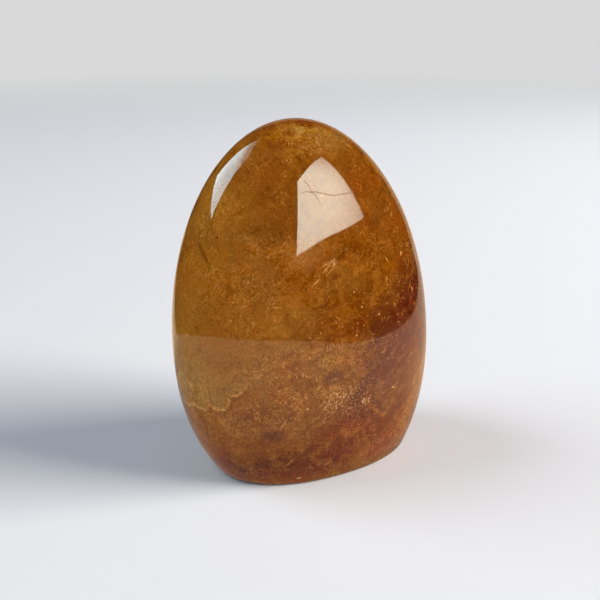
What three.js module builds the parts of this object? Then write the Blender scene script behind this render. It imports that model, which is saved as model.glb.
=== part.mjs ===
// A polished freeform of hematoid quartz: one egg-shaped stone, broader than it is deep, that
// leans a little and stands on a flat cut base. Millimetres, +Z up, the broad face towards -Y.
import * as THREE from "three";

// Driving dimensions.
const height = 90; // from the cut base to the crown
const breadth = 71; // along X, where the stone is widest
const depth = 42; // along Y, where it is thickest
const lean = new THREE.Vector2(-6.3, -2.4); // how far the crown sits from over the foot's centre
const edgeRadius = 0.8; // the base's edge, eased in polishing

// The form. An outline is one closed egg curve, of which the cut leaves off the lowest part.
const broadOutline = { runsOn: 16, taper: 0.1 }; // mm that it would run on below the cut
const deepOutline = { runsOn: 28, taper: 0 }; // taper is how much slimmer the crown's end is
const flankFullness = 2.15; // 2 is a true oval outline, and more has straighter flanks
const faceFlatness = 2.25; // 2 is a true oval section, and more has flatter faces
const backFlattening = 0.04; // the share by which the back bulges less than the front

// How finely the polished surface is faceted.
const sides = 72; // round each level section
const rows = 44; // from the eased edge up to the crown
const edgeRows = 3; // over the eased edge

// Half the width of an outline at a height, as a share that isn't yet scaled to its widest.
function eggCurve(z, { runsOn, taper }) {
  const along = 1 - (2 * (z + runsOn)) / (height + runsOn); // 1 at the low end, -1 at the crown
  const oval = Math.sqrt(Math.max(0, 1 - Math.abs(along) ** flankFullness));
  return oval * (1 + taper * along);
}

// The widest share that an outline reaches above the cut.
function widest(outline) {
  const levels = 400;
  let most = 0;
  for (let level = 0; level <= levels; level++)
    most = Math.max(most, eggCurve((height * level) / levels, outline));
  return most;
}

const broadScale = breadth / 2 / widest(broadOutline);
const deepScale = depth / 2 / widest(deepOutline);

// How far the eased edge draws the surface in at a height.
function edgeInset(z) {
  if (z >= edgeRadius) return 0;
  return edgeRadius - Math.sqrt(edgeRadius ** 2 - (edgeRadius - z) ** 2);
}

// A power that keeps its number's sign, for the superellipse of a level section.
const signedPower = (value, power) => Math.sign(value) * Math.abs(value) ** power;

// A point of the polished surface, by its height and its angle round the section.
function surfacePoint(z, angle) {
  const halfBreadth = broadScale * eggCurve(z, broadOutline) - edgeInset(z);
  const halfDepth = deepScale * eggCurve(z, deepOutline) - edgeInset(z);
  const across = signedPower(Math.cos(angle), 2 / faceFlatness);
  const away = signedPower(Math.sin(angle), 2 / faceFlatness);
  const bulge = 1 - backFlattening * Math.sin(angle);
  const raised = z / height;
  return new THREE.Vector3(
    lean.x * raised + halfBreadth * across,
    lean.y * raised + halfDepth * away * bulge,
    z,
  );
}

// The heights of the sections: over the eased edge, then closer together towards the crown.
function sectionHeights() {
  const heights = [];
  for (let row = 0; row < edgeRows; row++) {
    const turn = (row / edgeRows) * (Math.PI / 2);
    heights.push(edgeRadius * (1 - Math.cos(turn)));
  }
  const span = height + broadOutline.runsOn;
  const firstTurn = Math.acos(1 - (2 * (edgeRadius + broadOutline.runsOn)) / span);
  for (let row = 0; row < rows; row++) {
    const turn = firstTurn + ((Math.PI - firstTurn) * row) / rows;
    heights.push((span * (1 - Math.cos(turn))) / 2 - broadOutline.runsOn);
  }
  return heights;
}

// The closed surface: the flat base, the sections one above another, and the crown.
function stoneGeometry() {
  const heights = sectionHeights();
  const points = heights.flatMap((z) =>
    Array.from({ length: sides }, (_, side) => surfacePoint(z, (2 * Math.PI * side) / sides)),
  );
  const baseCentre = points.push(new THREE.Vector3(0, 0, 0)) - 1;
  const crown = points.push(new THREE.Vector3(lean.x, lean.y, height)) - 1;
  const faces = [];
  for (let side = 0; side < sides; side++) {
    const next = (side + 1) % sides;
    faces.push(baseCentre, next, side);
    for (let row = 0; row + 1 < heights.length; row++) {
      const low = row * sides;
      const high = low + sides;
      faces.push(low + side, low + next, high + next);
      faces.push(low + side, high + next, high + side);
    }
    const top = (heights.length - 1) * sides;
    faces.push(top + side, top + next, crown);
  }
  const geometry = new THREE.BufferGeometry().setFromPoints(points);
  geometry.setIndex(faces);
  // The origin is under the middle of the whole stone, on the face it stands on.
  geometry.computeBoundingBox();
  const middle = geometry.boundingBox.getCenter(new THREE.Vector3());
  geometry.translate(-middle.x, -middle.y, 0);
  geometry.computeVertexNormals();
  return geometry;
}

// Honey-amber quartz, cloudy with iron oxides, under a glassy polish.
const hematoidQuartz = new THREE.MeshStandardMaterial({
  color: 0xa0611c,
  roughness: 0.06,
  metalness: 0,
});

const stone = new THREE.Mesh(stoneGeometry(), hematoidQuartz);
stone.name = "quartz_freeform";

const freeform = new THREE.Group();
freeform.add(stone);

export default freeform;
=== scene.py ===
import math

import bpy
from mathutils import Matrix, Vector


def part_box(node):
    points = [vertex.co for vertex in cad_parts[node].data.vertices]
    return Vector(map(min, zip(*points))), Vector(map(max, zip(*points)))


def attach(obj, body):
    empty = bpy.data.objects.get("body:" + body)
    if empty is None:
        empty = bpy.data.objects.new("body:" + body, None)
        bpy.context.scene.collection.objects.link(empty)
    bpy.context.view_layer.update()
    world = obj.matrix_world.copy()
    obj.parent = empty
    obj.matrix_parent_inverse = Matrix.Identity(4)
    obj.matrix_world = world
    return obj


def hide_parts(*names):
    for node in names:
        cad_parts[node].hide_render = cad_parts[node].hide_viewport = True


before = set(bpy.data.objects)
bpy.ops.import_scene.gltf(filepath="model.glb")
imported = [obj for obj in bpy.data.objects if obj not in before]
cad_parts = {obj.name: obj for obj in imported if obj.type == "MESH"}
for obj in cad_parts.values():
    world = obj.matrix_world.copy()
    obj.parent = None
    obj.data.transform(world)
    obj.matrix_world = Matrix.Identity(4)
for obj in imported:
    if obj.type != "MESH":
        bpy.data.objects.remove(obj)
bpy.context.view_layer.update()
mm = 0.001    # metres


class Wire:
    # one output socket of a node tree, so that sums and products of sockets read as such
    def __init__(self, tree, socket):
        self.tree = tree
        self.socket = socket

    def math(self, operation, *others):
        terms = dict(enumerate((self, *others)))
        return add(self.tree, "ShaderNodeMath", {"operation": operation}, terms)

    def vector(self, operation, *others, output=0):
        terms = dict(enumerate((self, *others)))
        return add(self.tree, "ShaderNodeVectorMath", {"operation": operation}, terms, output)

    def __add__(self, other):
        return self.math("ADD", other)

    def __sub__(self, other):
        return self.math("SUBTRACT", other)

    def __rsub__(self, other):
        return (self * -1.0).math("ADD", other)

    def __mul__(self, other):
        return self.math("MULTIPLY", other)

    def __truediv__(self, other):
        return self.math("DIVIDE", other)

    def __rtruediv__(self, other):
        return self.math("POWER", -1.0) * other

    __radd__ = __add__
    __rmul__ = __mul__

    def clipped(self):
        return self.math("MAXIMUM", 0.0).math("MINIMUM", 1.0)

    def ramp(self, low, high):
        # 0 up to low, 1 from high on, and smooth in between; low may be the larger
        return add(self.tree, "ShaderNodeMapRange", {"interpolation_type": "SMOOTHSTEP"},
                   {"Value": self, "From Min": low, "From Max": high}, "Result")

    def line(self, level, halfWidth):
        # a thin line where the value passes a level
        return (self - level).math("ABSOLUTE").ramp(halfWidth, halfWidth * 0.4)

    def scaled(self, factor):
        return add(self.tree, "ShaderNodeVectorMath", {"operation": "SCALE"}, {0: self, 3: factor})


def add(tree, kind, settings, values, output=0):
    # any node: its settings first, then what its sockets hold or are linked to
    node = tree.nodes.new(kind)
    for name, value in settings.items():
        setattr(node, name, value)
    for key, value in values.items():
        socket = node.inputs[key]
        if isinstance(value, Wire):
            tree.links.new(value.socket, socket)
        else:
            socket.default_value = value
    return Wire(tree, node.outputs[output]) if len(node.outputs) else None


def mixed(a, b, factor):
    # colour a where factor is 0, colour b where it is 1
    return add(factor.tree, "ShaderNodeMix", {"data_type": "RGBA"}, {0: factor, 6: a, 7: b}, 2)


def colour(red, green, blue):
    # from the 0 to 255 shades that a screen shows to the shader's linear ones
    def linear(shade):
        shade = shade / 255
        return shade / 12.92 if shade <= 0.04045 else ((shade + 0.055) / 1.055) ** 2.4
    return (linear(red), linear(green), linear(blue), 1.0)


def shifted(place, seed):
    # far enough away that noises with other seeds look nothing alike
    return place.vector("ADD", (seed * 17.3, seed * -9.1, seed * 5.7))


def clouds(place, size, detail=3.0, rough=0.55, seed=0):
    # soft noise round 0.5, whose lumps are about that many millimetres across
    return add(place.tree, "ShaderNodeTexNoise", {"noise_dimensions": "3D"},
               {"Vector": shifted(place, seed), "Scale": 1 / size, "Detail": detail,
                "Roughness": rough})


def blots(place, size, detail, rough, seed, low, high):
    # the same noise cut into patches: 0 up to the one level, and 1 past the other
    return clouds(place, size, detail, rough, seed).ramp(low, high)


def warped(place, bends):
    # a place moved about by soft noise, so that what reads it meanders
    for size, shift, seed in bends:
        noise = add(place.tree, "ShaderNodeTexNoise", {"noise_dimensions": "3D"},
                    {"Vector": shifted(place, seed), "Scale": 1 / size, "Detail": 2.0}, "Color")
        place = place.vector("ADD", noise.vector("SUBTRACT", (0.5, 0.5, 0.5)).scaled(shift))
    return place


def heightOf(place):
    return add(place.tree, "ShaderNodeSeparateXYZ", {}, {0: place}, "Z")


def within(place, centre, radii, turn=(0, 0, 0)):
    # the place as an ellipsoid's own, from -1 to 1 along each of its radii
    return add(place.tree, "ShaderNodeMapping", {"vector_type": "TEXTURE"},
               {"Vector": place, "Location": centre,
                "Rotation": tuple(math.radians(angle) for angle in turn), "Scale": radii})


def away(place, centre, radii, turn=(0, 0, 0)):
    # how far the place lies from a centre, 1 being the surface of an ellipsoid there
    return within(place, centre, radii, turn).vector("LENGTH", output="Value")


def patch(place, centre, radii, soft, turn=(0, 0, 0)):
    # 1 inside an ellipsoid and 0 outside, with a soft edge
    return away(place, centre, radii, turn).ramp(1 + soft, 1 - soft)


def gathered(place, patches):
    # several patches added up, whose last value is each one's strength
    total = 0.0
    for *where, strength in patches:
        total = patch(place, *where) * strength + total
    return total


def painted(skin, shade, place, patches):
    # coloured patches laid over the skin in turn
    for name, *where, strength in patches:
        skin = mixed(skin, shade[name], patch(place, *where) * strength)
    return skin


cameraView = {
    "azimuth": -29.0,       # degrees round the stone, 0 being square on to its broad face
    "elevation": 19.0,      # degrees above the surface it stands on
    "aim": (-0.3, 3.0, 42.35),  # mm, the point looked at
    "distance": 219.1,      # mm from there
    "lens": 50.0,           # mm
    "sensor": 36.0,         # mm
    "nearest": 5.0,         # mm, closer than which nothing shows
}


def makeCamera(look):
    azimuth = math.radians(look["azimuth"])
    elevation = math.radians(look["elevation"])
    outward = Vector((math.sin(azimuth) * math.cos(elevation),
                      -math.cos(azimuth) * math.cos(elevation),
                      math.sin(elevation)))
    data = bpy.data.cameras.new("camera")
    data.lens = look["lens"]
    data.sensor_width = look["sensor"]
    data.clip_start = look["nearest"] * mm
    camera = bpy.data.objects.new("camera", data)
    camera.location = Vector(look["aim"]) * mm + outward * look["distance"] * mm
    camera.rotation_euler = outward.to_track_quat("Z", "Y").to_euler()
    bpy.context.scene.collection.objects.link(camera)
    bpy.context.scene.camera = camera


makeCamera(cameraView)
print("camera set")


stone = {
    "height": 90.0,          # mm, before it is fitted to the frame's box
    "breadth": 71.0,
    "depth": 42.0,
    "leanAcross": -6.3,      # how far the crown sits from over the foot's centre
    "leanBack": -2.4,
    "edgeRadius": 0.8,       # the base's edge, eased in polishing
    "edgeShare": 0.05,       # how much of the rows that edge takes
    "broadRunsOn": 16.0,     # mm that each outline's egg would run on below the cut
    "deepRunsOn": 28.0,
    "broadTaper": 0.1,       # how much slimmer the crown's end is
    "deepTaper": 0.0,
    "flankFullness": 2.15,   # 2 is a true oval outline, and more has straighter flanks
    "faceFlatness": 2.25,    # 2 is a true oval section, and more has flatter faces
    "backFlattening": 0.04,  # the share by which the back bulges less than the front
    "sides": 240,            # points round each level section
    "rows": 158,             # sections from the base to the crown
}


def eggCurve(z, runsOn, taper, size):
    # how broad an egg is at a height, whose foot is cut off and would run on below
    along = 1.0 - (z + runsOn) * 2.0 / (size["height"] + runsOn)
    oval = (1.0 - along.math("ABSOLUTE").math("POWER", size["flankFullness"])).math("MAXIMUM", 0.0)
    return oval.math("SQRT") * (along * taper + 1.0)


def rounded(swing, power):
    # a sine or cosine drawn out towards a rounded square's
    return swing.math("SIGN") * swing.math("ABSOLUTE").math("POWER", power)


def stoneTree(sizes, material):
    # a plain cylinder whose rings are moved out to the stone's level sections
    tree = bpy.data.node_groups.new("eggStone", "GeometryNodeTree")
    kinds = {int: "NodeSocketInt", float: "NodeSocketFloat", tuple: "NodeSocketVector"}
    for name, value in sizes.items():
        tree.interface.new_socket(name, in_out="INPUT", socket_type=kinds[type(value)])
    tree.interface.new_socket("stone", in_out="OUTPUT", socket_type="NodeSocketGeometry")
    given = tree.nodes.new("NodeGroupInput")
    size = {name: Wire(tree, given.outputs[name]) for name in sizes}
    drum = add(tree, "GeometryNodeMeshCylinder", {"fill_type": "TRIANGLE_FAN"},
               {"Vertices": size["sides"], "Side Segments": size["rows"], "Radius": 1.0, "Depth": 1.0})
    at = add(tree, "GeometryNodeInputPosition", {}, {})
    x, y, up = (add(tree, "ShaderNodeSeparateXYZ", {}, {0: at}, axis) for axis in range(3))
    angle = y.math("ARCTAN2", x)
    onRim = (x * x + y * y).math("SQRT")    # 0 at the two middles, and 1 on every ring
    share = up + 0.5

    # heights: round the eased edge, then up the flank, closer together towards the crown
    edge, runsOn, height = size["edgeRadius"], size["broadRunsOn"], size["height"]
    edgeTurn = (share / size["edgeShare"]).math("MINIMUM", 1.0) * (math.pi / 2)
    span = height + runsOn
    first = (1.0 - (edge + runsOn) * 2.0 / span).math("ARCCOSINE")
    flank = ((share - size["edgeShare"]) / (1.0 - size["edgeShare"])).math("MAXIMUM", 0.0)
    flank = flank * (1.0 - onRim / size["rows"])
    rise = first + flank * (math.pi - first)
    z = span * (1.0 - rise.math("COSINE")) / 2.0 - runsOn - edge * edgeTurn.math("COSINE")

    # how far out each point goes across the stone and towards its back, and the lean
    inset = edge * (1.0 - edgeTurn.math("SINE"))
    broad = size["breadth"] / 2.0 * eggCurve(z, runsOn, size["broadTaper"], size) - inset
    deep = size["depth"] / 2.0 * eggCurve(z, size["deepRunsOn"], size["deepTaper"], size) - inset
    power = 2.0 / size["faceFlatness"]
    across = rounded(angle.math("COSINE"), power)
    back = rounded(angle.math("SINE"), power)
    back = back * (1.0 - size["backFlattening"] * angle.math("SINE"))
    raised = z / height
    moved = add(tree, "ShaderNodeCombineXYZ", {},
                {0: size["leanAcross"] * raised + onRim * broad * across,
                 1: size["leanBack"] * raised + onRim * deep * back, 2: z})
    drum = add(tree, "GeometryNodeSetPosition", {}, {"Geometry": drum, "Position": moved})

    # fitted to the frame's box, corner to corner
    least, most = (add(tree, "GeometryNodeBoundBox", {}, {0: drum}, corner) for corner in ("Min", "Max"))
    fitted = add(tree, "ShaderNodeMapRange", {"data_type": "FLOAT_VECTOR", "clamp": False},
                 {6: at, 7: least, 8: most, 9: size["lowCorner"], 10: size["highCorner"]}, 1)
    drum = add(tree, "GeometryNodeSetPosition", {}, {"Geometry": drum, "Position": fitted})
    drum = add(tree, "GeometryNodeSetShadeSmooth", {}, {0: drum})
    drum = add(tree, "GeometryNodeRealizeInstances", {}, {0: drum})
    drum = add(tree, "GeometryNodeSetMaterial", {}, {"Geometry": drum, "Material": material})
    add(tree, "NodeGroupOutput", {}, {"stone": drum})
    return tree


def grown(name, tree, sizes):
    # what a node tree makes, as a plain mesh
    piece = bpy.data.objects.new(name, bpy.data.meshes.new(name))
    bpy.context.scene.collection.objects.link(piece)
    modifier = piece.modifiers.new(name, "NODES")
    modifier.node_group = tree
    for item in tree.interface.items_tree:
        if item.in_out == "INPUT":
            modifier[item.identifier] = sizes[item.name]
    evaluated = piece.evaluated_get(bpy.context.evaluated_depsgraph_get())
    mesh = bpy.data.meshes.new_from_object(evaluated)
    mesh.materials.pop(index=0)     # the empty one that a cylinder starts with
    piece.modifiers.remove(modifier)
    piece.data = mesh
    return piece


quartzLook = {
    "ior": 1.544,
    "polish": 0.03,                     # roughness of the polished skin
    "glow": 0.22,                       # m that red light travels inside the milky stone
    "glowShare": (1.0, 0.55, 0.28),     # how far green and blue travel beside it
    "grainTurn": (0, -32, 0),           # degrees: the way that grain and streaks lie
    "grainDrawnOut": (2, 1, 1),         # how much longer than broad the grain is
    # how the patterns meander: mm across the bends, mm that they shift by, seed
    "bends": {
        "drift": [(12, 9, 1)],
        "ragged": [(5, 3, 30), (1.4, 1.4, 2)],
        "gritty": [(0.8, 0.6, 33)],
        "lobed": [(6, 1.5, 31), (1.3, 1, 32)],
        "bundle": [(4, 2, 51)],
        "window": [(6, 4, 20)],
        "wavy": [(9, 3, 71), (2, 0.8, 72)],
    },
    # the milky stone's own colours, as screen shades; some also serve painted light and shade: the glow
    # along the base, the glints, and shade at the crown and base
    "shades": {
        "amber": (112, 66, 4),
        "honey": (125, 92, 32),
        "brass": (87, 51, 4),
        "bronze": (75, 41, 3),
        "rust": (80, 34, 3),
        "umber": (92, 52, 4),
        "milk": (125, 102, 44),
        "foot": (94, 40, 9),
        # dark rust, and also painted shade at the crown's rim and along the base
        "darkRustAndShade": (50, 22, 8),
        "plum": (64, 33, 23),
        "fibre": (152, 104, 26),
        # pale flecks of the needles, and the colour of the painted glints
        "fleckAndGlint": (224, 184, 120),
        "pit": (70, 28, 8),
        "cream": (190, 146, 80),
        # pinkish, and also the painted glow along the base
        "blushAndBaseGlow": (142, 74, 36),
    },
    # broad tones: shade, noise, strength. Every noise is given by mm across, detail, roughness and seed,
    # and then, where it is cut into patches, by the levels round 0.5 where those start and are full
    "tones": [
        ("honey", (13, 2.5, 0.55, 3, 0.36, 0.64), 1.0),
        ("rust", (9, 4.0, 0.60, 4, 0.50, 0.70), 0.18),
        ("umber", (4, 3.0, 0.55, 5, 0.46, 0.66), 0.4),
    ],
    # towards the base: mm above it where the shade starts and is full, strength. The first darkens and
    # browns the foot, partly its own colour and partly painted shade near the floor
    "footTone": ((28, 4), 0.8),
    # the second is a paler, redder painted glow along the base, standing in for light that gets through
    # the stone
    "paintedBaseGlow": ((9, 1), 0.2),
    # the milky body low on one flank, which ends in lobes given by centre and radius in mm
    "milky": {
        "lobes": [((-31, -6, 42), 14.0), ((-35, -1, 26), 4.5), ((-33, -6, 25.5), 3.6),
                  ((-30, -10, 27), 3.8), ((-27, -13, 30.5), 3.2), ((-24, -15.5, 33.5), 3.4)],
        "joined": 0.8,                  # mm over which one lobe runs into the next
        "sharp": 0.12,                  # mm over which the body ends
        "filled": ((-34, -6, 31), (19, 20, 16), 0.6),   # where it is milkiest
        "filledShare": 0.9,
        "edged": ((-33, -8, 26), (13, 13, 9), 0.3),     # where its edge shows
        "rim": (-1.1, -0.2),            # mm from the edge where the pale rim starts and is full
        "rimLumps": (2.5, 1.0, 0.55, 35, 0.35, 0.6),
        "rimShare": (0.1, 0.5),         # where it is faintest and strongest
        "gap": (0.4, 0.5),              # mm outside the edge that a dark line runs, and half its width
        "gapShare": 0.4,
    },
    # patches: shade, centre and radii in mm, softness of the edge, strength
    "patches": [
        ("milk", (-34, 0, 52), (24, 30, 40), 0.7, 0.25),
        ("honey", (-28, -13, 46), (12, 12, 14), 0.6, 1.0),
        # painted shade: darkens the flank that faces the key lamp, to even out its light
        ("bronze", (38, -6, 54), (38, 30, 50), 0.4, 0.9),
        # these two darken the crown: painted shade, dulling the light that its top lets through
        ("bronze", (-2, -3, 92), (22, 20, 22), 0.6, 0.9),
        ("foot", (-3, -2, 94), (17, 15, 10), 0.6, 0.8),
        ("blushAndBaseGlow", (-17, -9, 81), (6, 5, 5), 0.5, 0.25),
        ("bronze", (-13, -14, 72), (9, 8, 13), 0.6, 0.45),
        ("cream", (-4, -7, 88), (4, 3, 0.6), 0.5, 0.2),
        ("darkRustAndShade", (3, -8, 85.5), (2.5, 2, 1.2), 0.6, 0.7),
        # painted shade: a dark rim along the crown's edge
        ("darkRustAndShade", (-5, 2, 89.5), (16, 7, 2.5), 0.6, 0.45),
        ("cream", (-1, -9, 85), (7, 4, 3), 0.7, 0.12),
        ("cream", (-6, -19, 60), (9, 6, 2.6), 0.6, 0.25),
        ("rust", (0, -21, 43), (12, 6, 5), 0.6, 0.7),
        ("darkRustAndShade", (25, -15, 41), (17, 11, 15), 0.55, 1.0),
        ("brass", (2.5, -20, 54), (13.5, 10, 10.5), 0.3, 0.9),
        ("honey", (-2, -20, 54.5), (7, 5, 3.5), 0.6, 0.4),
        ("darkRustAndShade", (13, -20, 41), (8, 4, 3.5), 0.8, 0.6),
        ("darkRustAndShade", (17, -18, 46), (6, 5, 6), 0.8, 0.45),
        ("plum", (12, -20, 27), (7, 5, 6), 0.6, 0.7),
        ("umber", (-2, -19, 21), (22, 8, 15), 0.6, 0.5),
        ("plum", (14, -19, 32), (12, 6, 8), 0.6, 0.85),
        ("rust", (12, -13, 70), (10, 9, 13), 0.6, 0.45),
        ("umber", (24, -14, 18), (12, 10, 14), 0.6, 0.6),
        ("plum", (10, -20, 20), (13, 6, 9), 0.6, 0.65),
        ("darkRustAndShade", (6, -20, 19), (6, 4, 4), 0.6, 0.4),
        ("rust", (-15, -19, 35), (4, 4, 3), 0.6, 0.4),
        # painted shade along the front of the base
        ("darkRustAndShade", (2, -17, 0), (30, 10, 9), 0.7, 0.62),
        # painted glow low on the front of the base, standing in for light that gets through the stone
        ("blushAndBaseGlow", (15, -16, 4), (14, 8, 5), 0.6, 0.5),
        ("darkRustAndShade", (-24, -11, 6), (7, 7, 5), 0.6, 0.5),
        ("plum", (-4, -21, 30), (3, 4, 1.6), 0.5, 0.7),
        ("plum", (7, -20, 24), (5, 4, 2.6), 0.5, 0.7),
        ("plum", (-19, -17, 16.5), (3, 4, 2.5), 0.5, 0.6),
        ("foot", (1, -19, 12), (10, 6, 7), 0.6, 0.7),
        ("milk", (17, 14, 58), (14, 12, 12), 0.25, 0.7),
        ("darkRustAndShade", (-20, 18, 30), (10, 8, 12), 0.45, 0.7),
        ("plum", (12, 18, 20), (12, 8, 8), 0.4, 0.6),
        ("honey", (-10, 14, 72), (12, 8, 8), 0.5, 0.7),
    ],
    # where the pattern is calmer: centre and radii in mm, softness, strength
    "calm": [
        ((36, -2, 40), (14, 22, 45), 0.5, 0.8),
        ((-1, -15, 72), (9, 8, 12), 0.5, 0.8),
        ((-30, -8, 40), (12, 16, 12), 0.5, 0.8),
        ((18, -14, 64), (12, 9, 13), 0.5, 0.8),
        ((20, -17, 36), (12, 9, 16), 0.5, 0.8),
        ((-17, -12, 75), (9, 8, 9), 0.5, 0.8),
    ],
    "busy": (8, 2.0, 0.55, 8, 0.42, 0.62),      # where it is livelier
    # grit and longer grain that lighten and darken the stone
    "relief": {
        # which way each lies, its noise, and then its strength where the stone is busy, in its lower
        # half, where it isn't calm, and everywhere
        "layers": [
            ("gritty", (0.6, 2.0, 0.8, 34), (2.0, 1.0, 0.2, 0.7)),
            ("flow", (1.8, 4.0, 0.8, 7), (2.0, 0.9, 0.0, 0.3)),
        ],
        "lowerHalf": (42, 36),          # mm above the base where it starts and is full
        "darkest": -0.22,               # how far down it may go
        "tint": (1, 1.5, 4.0),          # each primary's share, so that the hue holds
        "leastLeft": (0.5, 0.4, 0.2),   # what is left of each primary at the darkest
    },
    # films and fibres, whose own patterns are given with a seed last
    "fibres": {
        # where short light ones gather: centre and radii in mm, softness, strength
        "wispy": [
            ((-24, -16, 51), (7, 6, 9), 0.6, 1.0),
            ((-15, -18, 27), (10, 6, 8), 0.6, 1.0),
            ((-2, -20, 35.5), (13, 6, 5), 0.6, 1.0),
        ],
        "films": (11, 40),                  # mm across
        "filmsShare": 0.25,
        "smallFilms": (3, 41),
        "smallFilmsShare": 0.1,
        "clumps": (9, 2.0, 0.55, 10, 0.50, 0.62),       # where hairs gather too
        "clumpsShare": 0.8,
        "hairs": (3.5, 3.0, 0.02, 9),       # mm across their bends, detail, half their width
        "hairsShare": 0.4,
        "fineHairs": (1.2, 2.0, 0.05, 12),
        "fineHairsShare": 0.12,
        "bundles": (6, 2.0, 0.55, 53, 0.44, 0.58),
        "bundlesShare": 0.45,
        "wispyBundlesShare": 0.55,
        "strands": (3.2, 3.0, 0.22, 52),    # mm across a bundle, and a fibre's length and thickness
        "darkThreads": (4, 3.0, 0.03, 50),
        "darkThreadsShare": 0.3,
    },
    # reddish streaks along the grain, and where they lie: centre and radii in mm, softness, strength
    "streaks": {
        "streaked": [
            ((15, -18, 35), (13, 9, 14), 0.5, 0.6),
            ((12, 16, 22), (16, 8, 12), 0.5, 0.6),
        ],
        "drawnOut": (4, 1, 1),
        "lumps": (2.0, 3.0, 0.6, 19, 0.50, 0.62),
    },
    # crystal grains, whose bright ones are painted glints, and painted glints strewn over healed cracks
    "grains": {
        # dense clusters, and looser grains round them: centre, radii, softness, turn, strength
        "clusters": [
            ((-2.4, -21, 24.4), (4, 4, 2.4), 0.5, (0, -20, 0), 1.0),
            ((5.8, -20, 21.6), (2, 3, 1.2), 0.5, (0, 0, 0), 0.5),
        ],
        "looser": [((1.5, -21, 23.5), (9, 4, 4.5), 0.5, (0, -20, 0), 0.4)],
        "paler": 0.08,                      # how far a cluster's ground pales
        "crystals": (0.5, 1.0, 0.5, 18),
        "bright": (0.54, 0.68),             # levels of that noise
        "brightShare": 0.6,
        "dark": (0.46, 0.34),
        "darkShare": 0.5,
        "glinting": [
            ((6, -20, 44), (11, 5, 8), 0.6, 1.0),
            ((16, -17, 58), (5, 6, 8), 0.6, 1.0),
        ],
        "glints": (0.6, 0.0, 0.5, 15, 0.76, 0.84),
        "glintsShare": 0.5,
    },
    # a tangle of pale needles with dark between them: centre and radii in mm, softness, turn
    "knot": {
        "at": ((-5, -19.5, 58.2), (2.2, 3, 1.3), 0.4, (0, -30, 0)),
        "drawnOut": (8, 1, 1),
        "needles": (0.3, 1.0, 0.55, 17),
        "bright": (0.50, 0.62),
        "brightShare": 0.45,
        "dark": (0.48, 0.38),
        "darkShare": 0.5,
    },
    # small single marks, of which those in the glint shade are painted glints: shade, centre and radii in
    # mm, softness, turn in degrees, strength
    "marks": [
        ("cream", (-16.7, -18.1, 19.5), (1.9, 1, 0.16), 0.4, (0, -60, 0), 0.6),
        ("cream", (-14.1, -16.8, 7.7), (1.5, 1, 0.16), 0.4, (0, -50, 0), 0.55),
        ("cream", (-8.5, -19.7, 54.9), (1.2, 1, 0.2), 0.4, (0, -35, 0), 0.6),
        ("cream", (12.1, -18.3, 57), (0.7, 1, 0.12), 0.4, (0, 60, 0), 0.8),
        ("cream", (17.6, -16.2, 57.4), (0.3, 1, 0.5), 0.4, (0, 0, 0), 0.5),
        ("cream", (21.5, -16, 47.5), (0.15, 1, 0.7), 0.4, (0, -15, 0), 0.8),
        ("cream", (1.4, -20.4, 51.1), (0.25, 1, 0.2), 0.4, (0, 0, 0), 0.8),
        ("fleckAndGlint", (3.6, -20.6, 47.1), (0.16, 1, 0.25), 0.4, (0, 20, 0), 0.6),
        ("cream", (-7.8, -20.7, 42.5), (0.16, 1, 0.3), 0.4, (0, 10, 0), 0.7),
        ("cream", (-8.4, -20.7, 41.4), (0.35, 1, 0.15), 0.4, (0, -30, 0), 0.7),
        ("fleckAndGlint", (14.6, -19.3, 23), (0.35, 1, 0.2), 0.4, (0, 0, 0), 0.6),
        ("fleckAndGlint", (-10.8, -19.9, 23.1), (0.4, 1, 0.15), 0.4, (0, -10, 0), 0.7),
        ("fleckAndGlint", (-11.3, -16.3, 2.2), (0.5, 1, 0.35), 0.4, (0, 0, 0), 0.6),
        ("pit", (-28.3, -8.8, 65.5), (0.3, 0.4, 0.3), 0.4, (0, 0, 0), 0.8),
        ("pit", (-17.5, -17.3, 60.2), (0.25, 1, 0.25), 0.4, (0, 0, 0), 0.7),
        ("darkRustAndShade", (-31, -6.7, 61.5), (1.5, 3, 0.45), 0.4, (45, 0, 0), 0.6),
        ("darkRustAndShade", (15.5, -19.3, 27.6), (3, 1.5, 0.3), 0.4, (0, -38, 0), 0.5),
        ("plum", (7, -20.7, 29.3), (2.2, 1.5, 0.4), 0.4, (0, -15, 0), 0.6),
    ],
    "specks": (2.2, 0.3, 0.1, 16),      # dark ones: mm apart, mm radius, share of the places, seed
    "specksShare": 0.5,
    # hairline cracks: the normal of each one's plane and how far out it lies, then the patch where it
    # shows, by centre, radii and softness
    "cracks": [
        ((0.08, 0.0, 1.0), 74.2, (-3, -15, 74), (6, 8, 5), 0.3),
        ((0.85, 0.0, 0.5), 31.4, (-7, -15, 75), (3, 8, 3), 0.3),
        ((0.2, 0.1, 1.0), 62.0, (10, 14, 60), (16, 12, 10), 0.3),
        ((0.7, 0.2, 0.7), 22.0, (-14, 12, 44), (10, 14, 14), 0.3),
    ],
    "crackWidth": 0.12,                 # mm, half of it
    "crackShade": 0.65,
    "crackDepth": 0.00005,              # m
    "crackBump": 0.8,                   # how strongly the polish shows it
    # the clear stone between: the share where it is milkiest and clearest, and where none is clear
    "clearShare": (0.02, 0.14),
    "clearLumps": (7, 3.0, 0.55, 21, 0.44, 0.62),
    "clouded": [((18, -16, 35), (13, 10, 22), 0.5, 1.0)],
    "clearAbove": (5, 26),              # mm up: lower than that the foot's cut face would show through
    "absorbs": (0.90, 0.67, 0.07),      # the amber that its depth colours light
    "absorbing": 110.0,                 # how strongly, per m
}


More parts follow.
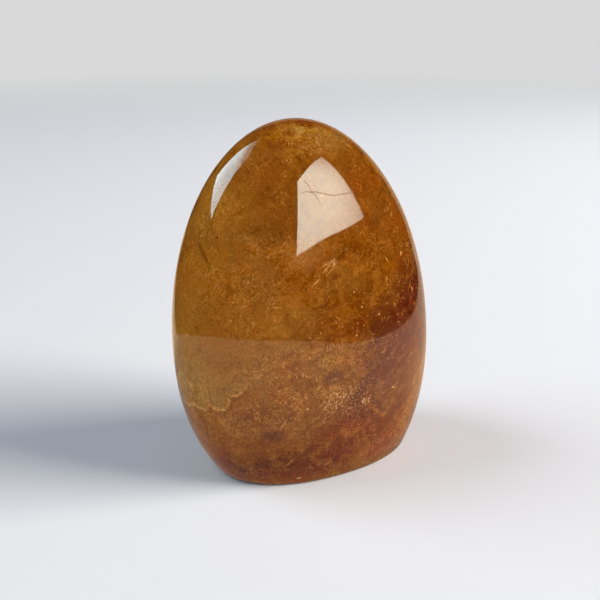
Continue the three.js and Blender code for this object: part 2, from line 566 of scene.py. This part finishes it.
def specks(place, spacing, radius, share, seed):
    # round specks scattered in a share of the cells
    tree = place.tree
    settings = {"voronoi_dimensions": "3D", "feature": "F1"}
    values = {"Vector": shifted(place, seed), "Scale": 1 / spacing}
    near = add(tree, "ShaderNodeTexVoronoi", settings, values, "Distance")
    lot = add(tree, "ShaderNodeTexVoronoi", settings, values, "Color")
    chance = add(tree, "ShaderNodeSeparateColor", {}, {0: lot}, 0)
    return near.ramp(radius / spacing, radius / spacing * 0.4) * chance.ramp(share, share * 0.9)


def threads(place, size, detail, width, seed):
    # long crinkled threads: a level line of a rough noise, broken up by a softer one
    lines = clouds(place, size, detail, 0.6, seed=seed)
    breaks = clouds(place, size * 0.8, 1.0, seed=seed + 1).ramp(0.50, 0.58)
    return lines.line(0.5, width) * breaks


def veils(place, size, seed):
    # films inside the stone: a sharp edge on one side, fading away from it on the other
    film = clouds(place, size, 4.0, 0.6, seed=seed)
    return film.ramp(0.49, 0.52) * film.ramp(0.60, 0.51)


def strands(place, spacing, length, thickness, seed):
    # bundles of short fibres: within each crystal they all lie one way
    tree = place.tree
    values = {"Vector": shifted(place, seed), "Scale": 1 / spacing}
    lot = add(tree, "ShaderNodeTexVoronoi", {"voronoi_dimensions": "3D", "feature": "F1"},
              values, "Color")
    edge = add(tree, "ShaderNodeTexVoronoi",
               {"voronoi_dimensions": "3D", "feature": "DISTANCE_TO_EDGE"}, values, "Distance")
    laid = add(tree, "ShaderNodeVectorRotate", {"rotation_type": "EULER_XYZ"},
               {"Vector": place, "Rotation": lot.scaled(2 * math.pi)})
    fibres = clouds(within(laid, (0, 0, 0), (length, thickness, thickness)), 1.0, 1.0, seed=seed + 1)
    return fibres.ramp(0.56, 0.68) * edge.ramp(0.0, 0.25)


def broadTones(shade, ways, look):
    # the main colours, the darker foot that is partly painted shade, and a painted glow along the base
    skin = shade["amber"]
    for name, noise, strength in look["tones"]:
        skin = mixed(skin, shade[name], blots(ways["drift"], *noise) * strength)
    # darker and browner towards the base: partly the foot's own colour, partly painted shade near the
    # floor
    levels, strength = look["footTone"]
    skin = mixed(skin, shade["foot"], heightOf(ways["drift"]).ramp(*levels) * strength)
    # a paler, redder painted glow along the base, standing in for light that gets through the stone
    levels, strength = look["paintedBaseGlow"]
    return mixed(skin, shade["blushAndBaseGlow"], heightOf(ways["plain"]).ramp(*levels) * strength)


def milkyBody(skin, shade, ways, look):
    # how far outside the lobes the place lies, in mm
    beyond = None
    for centre, radius in look["lobes"]:
        lobe = away(ways["lobed"], centre, (1, 1, 1)) - radius
        beyond = lobe if beyond is None else beyond.math("SMOOTH_MIN", lobe, look["joined"])
    inside = beyond.ramp(look["sharp"], -look["sharp"])
    filled = patch(ways["drift"], *look["filled"]) * look["filledShare"]
    skin = mixed(skin, shade["milk"], inside * filled)
    edged = patch(ways["plain"], *look["edged"])
    faintest, strongest = look["rimShare"]
    rimmed = blots(ways["plain"], *look["rimLumps"]) * (strongest - faintest) + faintest
    skin = mixed(skin, shade["cream"], beyond.ramp(*look["rim"]) * inside * edged * rimmed)
    return mixed(skin, shade["pit"], beyond.line(*look["gap"]) * edged * look["gapShare"])


def relieved(skin, ways, busy, quiet, look):
    # lighter and darker in turn
    lower = heightOf(ways["drift"]).ramp(*look["lowerHalf"]) * quiet
    relief = 0.0
    for way, noise, (whereBusy, whereLow, whereNotCalm, everywhere) in look["layers"]:
        strength = busy * whereBusy + lower * whereLow + quiet * whereNotCalm + everywhere
        relief = (clouds(ways[way], *noise) - 0.5) * strength + relief
    gain = relief.math("MAXIMUM", look["darkest"]).vector("MULTIPLY_ADD", look["tint"], (1, 1, 1))
    return skin.vector("MULTIPLY", gain.vector("MAXIMUM", look["leastLeft"]))


def fibrous(skin, shade, ways, busy, quiet, look):
    # films, crinkled hairs, bundles of short fibres, and dark threads
    films = veils(ways["drift"], *look["films"]) * quiet * look["filmsShare"]
    films = veils(ways["flow"], *look["smallFilms"]) * busy * look["smallFilmsShare"] + films
    skin = mixed(skin, shade["fibre"], films.clipped())
    wispy = gathered(ways["ragged"], look["wispy"])
    clumps = blots(ways["drift"], *look["clumps"]) * quiet
    clumps = clumps * look["clumpsShare"] + wispy
    hairs = threads(ways["ragged"], *look["hairs"]) * clumps * look["hairsShare"]
    hairs = threads(ways["flow"], *look["fineHairs"]) * busy * look["fineHairsShare"] + hairs
    skin = mixed(skin, shade["cream"], hairs.clipped())
    bundled = blots(ways["drift"], *look["bundles"]) * look["bundlesShare"]
    bundled = wispy * look["wispyBundlesShare"] + bundled
    skin = mixed(skin, shade["cream"], strands(ways["bundle"], *look["strands"]) * bundled)
    darkThreads = threads(ways["flow"], *look["darkThreads"]) * look["darkThreadsShare"]
    return mixed(skin, shade["darkRustAndShade"], darkThreads)


def streaky(skin, shade, ways, look, grainTurn):
    # drawn out along the grain
    stretched = within(ways["ragged"], (0, 0, 0), look["drawnOut"], grainTurn)
    streaks = gathered(ways["ragged"], look["streaked"]) * blots(stretched, *look["lumps"])
    return mixed(skin, shade["plum"], streaks.clipped())


def sparkling(skin, shade, ways, look):
    # bright grains painted as glints, with dark between them, and more painted glints
    clustered = gathered(ways["ragged"], look["clusters"])
    grainy = (gathered(ways["ragged"], look["looser"]) + clustered).clipped()
    crystals = clouds(ways["gritty"], *look["crystals"])
    skin = mixed(skin, shade["cream"], clustered.clipped() * look["paler"])
    skin = mixed(skin, shade["plum"], grainy * crystals.ramp(*look["dark"]) * look["darkShare"])
    skin = mixed(skin, shade["fleckAndGlint"], grainy * crystals.ramp(*look["bright"]) * look["brightShare"])
    glints = blots(ways["gritty"], *look["glints"]) * gathered(ways["ragged"], look["glinting"]).clipped()
    return mixed(skin, shade["fleckAndGlint"], glints * look["glintsShare"])


def needled(skin, shade, ways, look):
    # all the needles of the knot lie its way
    knot = patch(ways["gritty"], *look["at"])
    stretched = within(ways["gritty"], (0, 0, 0), look["drawnOut"], look["at"][-1])
    needles = clouds(stretched, *look["needles"])
    skin = mixed(skin, shade["fleckAndGlint"], knot * needles.ramp(*look["bright"]) * look["brightShare"])
    return mixed(skin, shade["pit"], knot * needles.ramp(*look["dark"]) * look["darkShare"])


def quartzColour(ways, look):
    # every pattern is laid over those before it
    shade = {name: colour(*screen) for name, screen in look["shades"].items()}
    skin = broadTones(shade, ways, look)
    skin = milkyBody(skin, shade, ways, look["milky"])
    skin = painted(skin, shade, ways["ragged"], look["patches"])
    quiet = 1.0
    for *where, strength in look["calm"]:
        quiet = (1.0 - patch(ways["drift"], *where) * strength) * quiet
    busy = blots(ways["drift"], *look["busy"]) * quiet
    skin = relieved(skin, ways, busy, quiet, look["relief"])
    skin = fibrous(skin, shade, ways, busy, quiet, look["fibres"])
    skin = streaky(skin, shade, ways, look["streaks"], look["grainTurn"])
    skin = sparkling(skin, shade, ways, look["grains"])
    skin = needled(skin, shade, ways, look["knot"])
    skin = painted(skin, shade, ways["gritty"], look["marks"])
    return mixed(skin, shade["pit"], specks(ways["plain"], *look["specks"]) * look["specksShare"])


def makeQuartz(look):
    material = bpy.data.materials.new("hematoidQuartz")
    material.use_nodes = True
    tree = material.node_tree
    tree.nodes.clear()
    place = add(tree, "ShaderNodeTexCoord", {}, {}, "Object").scaled(1 / mm)
    ways = {name: warped(place, bends) for name, bends in look["bends"].items()}
    ways["plain"] = place
    ways["flow"] = within(ways["ragged"], (0, 0, 0), look["grainDrawnOut"], look["grainTurn"])
    skin = quartzColour(ways, look)
    # hairline cracks that reach the polish, each where a wavy plane meets it
    cracks = 0.0
    for normal, offset, *where in look["cracks"]:
        level = ways["wavy"].vector("DOT_PRODUCT", normal, output="Value")
        cracks = level.line(offset, look["crackWidth"]) * patch(place, *where) + cracks
    skin = mixed(skin, colour(*look["shades"]["pit"]), cracks.clipped() * look["crackShade"])
    polish = add(tree, "ShaderNodeBump", {"invert": True},
                 {"Height": cracks, "Distance": look["crackDepth"], "Strength": look["crackBump"]})
    body = add(tree, "ShaderNodeBsdfPrincipled", {},
               {"Base Color": skin, "Roughness": look["polish"], "IOR": look["ior"],
                "Subsurface Weight": 1.0, "Subsurface Scale": look["glow"],
                "Subsurface Radius": look["glowShare"], "Normal": polish})
    clear = add(tree, "ShaderNodeBsdfPrincipled", {},
                {"Base Color": (1, 1, 1, 1), "Roughness": look["polish"], "IOR": look["ior"],
                 "Transmission Weight": 1.0})
    # windows of clear quartz in the milky stone
    milkiest, clearest = look["clearShare"]
    windows = blots(ways["window"], *look["clearLumps"]) * (1.0 - gathered(place, look["clouded"]))
    share = windows * (clearest - milkiest) + milkiest
    share = share * heightOf(place).ramp(*look["clearAbove"])
    stoneSkin = add(tree, "ShaderNodeMixShader", {}, {0: share, 1: body, 2: clear})
    amber = add(tree, "ShaderNodeVolumeAbsorption", {},
                {"Color": (*look["absorbs"], 1), "Density": look["absorbing"]})
    add(tree, "ShaderNodeOutputMaterial", {}, {"Surface": stoneSkin, "Volume": amber})
    return material


low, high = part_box("quartz_freeform")
stone.update(lowCorner=tuple(low), highCorner=tuple(high))
quartzStone = grown("quartzStone", stoneTree(stone, makeQuartz(quartzLook)), stone)
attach(quartzStone, "root")
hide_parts("quartz_freeform")
print("stone made:", len(quartzStone.data.polygons), "faces")


studio = {
    "floorRadius": 2.0,                 # m
    "floorFades": (1.6, 0.5),           # m from the stone: wholly faded, and wholly there
    "floorColour": (0.79, 0.80, 0.82),
    # mm below the base, so that none of them lies in its plane
    "underStoneBelow": 0.02,
    "floorBelow": 0.05,
    "sheetBelow": 0.1,
    "skyColour": (0.69, 0.69, 0.69),    # what the camera sees past the floor
    "ambientColour": (0.14, 0.14, 0.18),
    "darkRoom": (0.006, 0.006, 0.006),  # what the polish mirrors where no card stands
    # lamps: compass bearing from the stone, half their breadth, and the rise of their edges, in degrees
    "keyLamp": {"bearing": 126, "half": 18, "rises": (10, 42), "far": 1.7,
                "radiance": (16.0, 15.1, 14.1)},
    "fillLamp": {"bearing": -58, "half": 24, "rises": (28, 66), "far": 8.0,
                 "radiance": (3.1, 3.5, 3.7)},
    # cards that only the polish sees: bearing and rise of each corner, how bright, and their brightest
    # part by centre and radii in m and softness
    "keyCard": {"corners": [(174, 5.5), (129, 12.5), (134, 45), (167, 36.4)], "far": 2.0,
                "glow": (11.0, 10.7, 8.7), "brightest": ((0.6, -1.8, 1.1), (0.9, 3, 1.0), 0.5),
                "dimmed": 0.3},
    "fillCard": {"corners": [(-69, 22), (-21, 22), (-21, 60), (-69, 60)], "far": 2.0,
                 "glow": (5.0, 6.7, 7.2), "brightest": ((-1.3, 1.3, 1.3), (3, 3, 1.0), 0.5),
                 "dimmed": 0.25},
    "backCard": {"corners": [(0, 0), (72, 0), (70, 6), (68, 12), (63, 19), (58, 23), (40, 36), (0, 36)],
                 "far": 0.5, "glow": (0.62, 0.45, 0.28),
                 "brightest": ((0.36, 0.3, 0), (0.24, 3, 3), 0.5), "dimmed": 0.05},
    # the light that gets through the stone and comes back from the paper under it
    "underStone": {"centre": (2.1, 1.0), "radii": (26.2, 16.7), "glow": (0.22, 0.125, 0.06)},
    "sheetGlow": (0.85, 0.66, 0.48),    # the paper that the stone stands on, as the polish mirrors it
    # the part of it that the stone keeps the light from: which way that lies in degrees, and centre,
    # radii in mm and softness
    "shadeGlow": (0.30, 0.27, 0.26),
    "shadeTurn": 144,
    "shadeAt": ((60, 0, 0), (105, 42, 100), 0.35),
    "footShadeAt": ((4, 4, 0), (50, 34, 100), 0.6),
    "footShade": 0.6,
    # mm, the paper's outline: near in front, and running on behind
    "sheetOutline": [(-73, 109), (-112, 88), (-143, 55), (-161, 0), (-160, -40), (-141, -78),
                     (-100, -115), (-55, -132), (-10, -136), (29, -122), (58, -105), (91, -90),
                     (123, -70), (153, -45), (179, -17), (226, 26), (296, 87), (494, 160),
                     (500, 420), (200, 560), (-20, 520), (-45, 268), (-68, 190)],
}


def ring(centre, radii, rise, steps=96):
    # points round an ellipse, all lengths in mm
    turns = [2 * math.pi * step / steps for step in range(steps)]
    return [((centre[0] + radii[0] * math.cos(turn)) * mm,
             (centre[1] + radii[1] * math.sin(turn)) * mm, rise * mm) for turn in turns]


def smoothOutline(points, between=8):
    # a closed curve through the points
    count = len(points)
    curve = []
    for index in range(count):
        before, start, end, after = (Vector(points[(index + step) % count]) for step in (-1, 0, 1, 2))
        for step in range(between):
            t = step / between
            curve.append(0.5 * (2 * start + (end - before) * t
                                + (2 * before - 5 * start + 4 * end - after) * t ** 2
                                + (3 * start - before - 3 * end + after) * t ** 3))
    return curve


def standing(bearing, rise, far):
    # a point at that compass bearing and rise from the stone's foot, on an upright wall round it
    turn = math.radians(bearing)
    return Vector((math.sin(turn), math.cos(turn), math.tan(math.radians(rise)))) * far


def stageFace(name, points, shade):
    # one dull face of the studio
    mesh = bpy.data.meshes.new(name)
    mesh.from_pydata(points, [], [tuple(range(len(points)))])
    piece = bpy.data.objects.new(name, mesh)
    bpy.context.scene.collection.objects.link(piece)
    material = bpy.data.materials.new(name)
    material.use_nodes = True
    shader = material.node_tree.nodes["Principled BSDF"]
    shader.inputs["Base Color"].default_value = (*shade, 1.0)
    shader.inputs["Roughness"].default_value = 0.9
    shader.inputs["Specular IOR Level"].default_value = 0.0
    mesh.materials.append(material)
    return piece, material.node_tree, shader


def makeCard(name, points, glow, brightest=None, dimmed=None):
    # a card that only the polish sees, as bright as what it stands for, and dimmer away from its
    # brightest part
    piece, tree, shader = stageFace(name, points, (0, 0, 0))
    shader.inputs["Emission Color"].default_value = (*glow, 1.0)
    shader.inputs["Emission Strength"].default_value = 1.0
    if brightest:
        place = add(tree, "ShaderNodeTexCoord", {}, {}, "Object")
        dim = tuple(share * dimmed for share in glow)
        shine = mixed((*dim, 1), (*glow, 1), patch(place, *brightest))
        tree.links.new(shine.socket, shader.inputs["Emission Color"])
    piece.visible_camera = False
    piece.visible_diffuse = False
    piece.visible_transmission = False
    piece.visible_shadow = False
    return piece, tree, shader


def makeLamp(name, look):
    bearing, far = look["bearing"], look["far"]
    bottom, top = (standing(bearing, rise, far) for rise in look["rises"])
    data = bpy.data.lights.new(name, "AREA")
    data.shape = "RECTANGLE"
    data.size = 2 * far * math.tan(math.radians(look["half"]))
    data.size_y = (top - bottom).length
    brightest = max(look["radiance"])
    data.color = [share / brightest for share in look["radiance"]]
    data.energy = brightest * math.pi * data.size * data.size_y
    lamp = bpy.data.objects.new(name, data)
    lamp.location = (bottom + top) / 2
    lamp.rotation_euler = standing(bearing, 0, 1).to_track_quat("Z", "Y").to_euler()
    lamp.visible_camera = False
    lamp.visible_glossy = False
    bpy.context.scene.collection.objects.link(lamp)


def makeFloor(look):
    radius = look["floorRadius"] / mm
    rim = ring((0, 0), (radius, radius), -look["floorBelow"])
    floor, tree, shader = stageFace("floor", rim, look["floorColour"])
    floor.visible_glossy = False
    # it fades into the sky, so that no horizon shows
    place = add(tree, "ShaderNodeTexCoord", {}, {}, "Object")
    fade = place.vector("LENGTH", output="Value").ramp(*look["floorFades"])
    tree.links.new(fade.socket, shader.inputs["Alpha"])


def makeSheet(look):
    # the paper that the polish mirrors, darker where the stone shades it
    outline = [(*point * mm, -look["sheetBelow"] * mm) for point in smoothOutline(look["sheetOutline"])]
    sheet, tree, shader = makeCard("paperSheet", outline, look["sheetGlow"])
    place = add(tree, "ShaderNodeTexCoord", {}, {}, "Object").scaled(1 / mm)
    turned = within(place, (0, 0, 0), (1, 1, 1), (0, 0, look["shadeTurn"]))
    footShade = patch(place, *look["footShadeAt"]) * look["footShade"]
    shade = (patch(turned, *look["shadeAt"]) + footShade).clipped()
    glow = mixed((*look["sheetGlow"], 1), (*look["shadeGlow"], 1), shade)
    tree.links.new(glow.socket, shader.inputs["Emission Color"])


def makeUnderStone(look):
    # unlike the other cards it lights the stone, and nothing mirrors it
    under = look["underStone"]
    rim = ring(under["centre"], under["radii"], -look["underStoneBelow"])
    card, tree, shader = makeCard("underStone", rim, under["glow"])
    card.visible_diffuse = True
    card.visible_glossy = False


def makeRoom(look):
    world = bpy.data.worlds.new("room")
    bpy.context.scene.world = world
    world.use_nodes = True
    tree = world.node_tree
    tree.nodes.clear()
    cameraRay = add(tree, "ShaderNodeLightPath", {}, {}, "Is Camera Ray")
    glossyRay = add(tree, "ShaderNodeLightPath", {}, {}, "Is Glossy Ray")
    seen = mixed((*look["ambientColour"], 1), (*look["darkRoom"], 1), glossyRay)
    seen = mixed(seen, (*look["skyColour"], 1), cameraRay)
    glow = add(tree, "ShaderNodeBackground", {}, {"Color": seen, "Strength": 1.0})
    add(tree, "ShaderNodeOutputWorld", {}, {"Surface": glow})


def makeStudio(look):
    makeFloor(look)
    makeUnderStone(look)
    makeSheet(look)
    for name in ("backCard", "keyCard", "fillCard"):
        card = look[name]
        corners = [standing(bearing, rise, card["far"]) for bearing, rise in card["corners"]]
        makeCard(name, corners, card["glow"], card["brightest"], card["dimmed"])
    for name in ("keyLamp", "fillLamp"):
        makeLamp(name, look[name])
    makeRoom(look)


makeStudio(studio)
bpy.context.scene.view_settings.view_transform = "Standard"
print("studio made")
